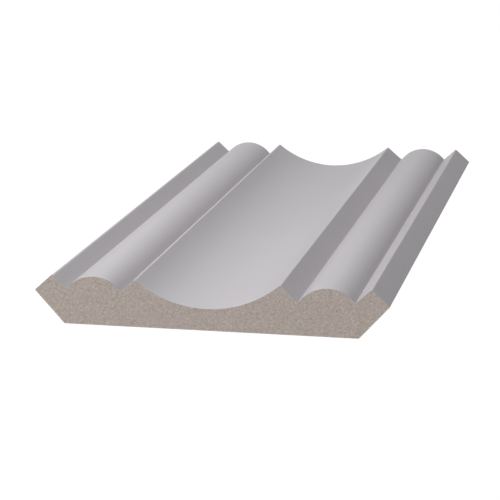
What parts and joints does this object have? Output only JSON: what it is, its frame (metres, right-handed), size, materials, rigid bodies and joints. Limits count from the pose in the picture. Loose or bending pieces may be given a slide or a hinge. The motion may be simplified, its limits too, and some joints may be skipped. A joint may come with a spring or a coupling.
{
  "type": "crown moulding",
  "caption": "Short length of primed fibreboard crown moulding: a wide cove between round beads and sharp arrises, with bevels on the flat back that seat on a wall and a ceiling.",
  "frame": {"origin": "middle of the flat back, which is the underside as it lies", "axes": "+X across the profile, +Y along the length, +Z out of the flat back towards the moulded front"},
  "size_m": [0.1142, 0.25, 0.0159],
  "materials": {
    "primed_fibreboard": "satin light grey primer on the moulded front, raw sawn fibreboard on the ends and the back"
  },
  "bodies": {
    "root": {"crown_moulding": "primed_fibreboard"}
  },
  "joints": []
}
